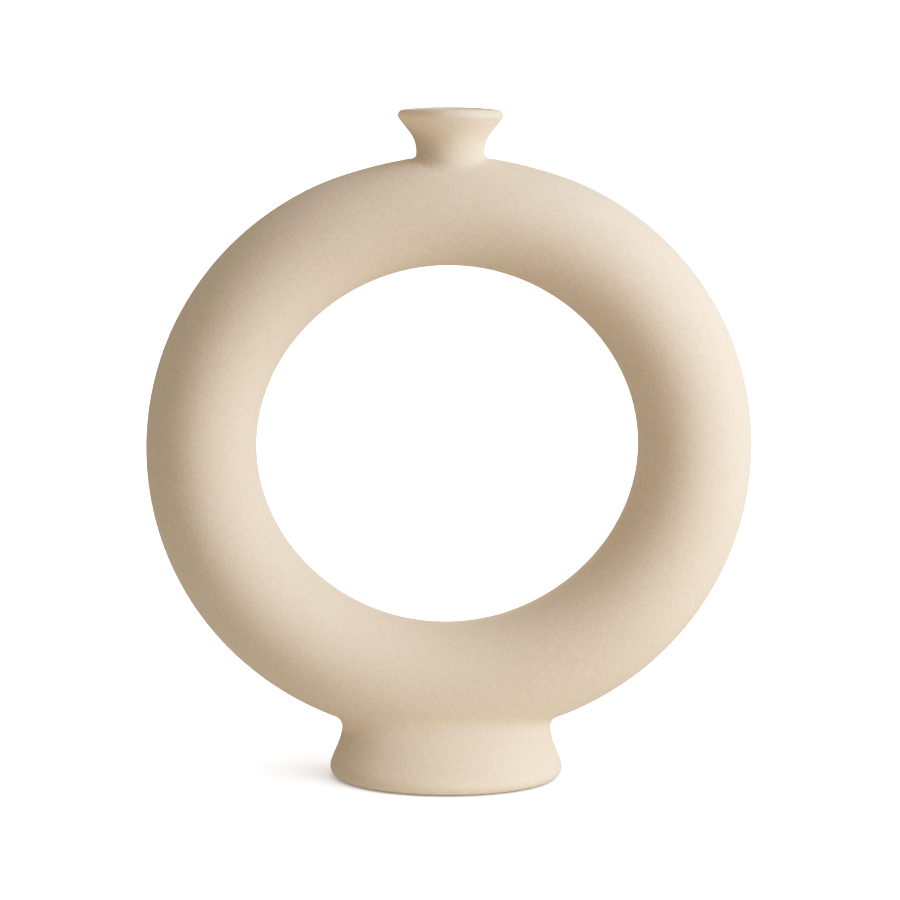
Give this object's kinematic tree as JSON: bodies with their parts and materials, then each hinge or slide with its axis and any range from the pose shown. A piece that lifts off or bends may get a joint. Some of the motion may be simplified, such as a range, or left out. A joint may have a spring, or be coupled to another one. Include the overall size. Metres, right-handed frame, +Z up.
{
  "type": "donut vase",
  "caption": "Upright hollow ring vase on a flared oval foot, with a short trumpet neck that opens into the ring and holds dried or fresh stems.",
  "frame": {"origin": "on the floor below the middle of the foot", "axes": "+Z up through the neck, +X to the right along the plane of the ring, -Y to the front"},
  "size_m": [0.2335, 0.0658, 0.26],
  "materials": {
    "bisque_clay": "matte",
    "joining_slip": "matte"
  },
  "bodies": {
    "root": {"ring_front_half": "bisque_clay", "ring_back_half": "bisque_clay", "ring_outer_seam": "joining_slip", "ring_inner_seam": "joining_slip", "neck": "bisque_clay", "neck_seam": "joining_slip", "foot": "bisque_clay", "foot_seam": "joining_slip"}
  },
  "joints": []
}
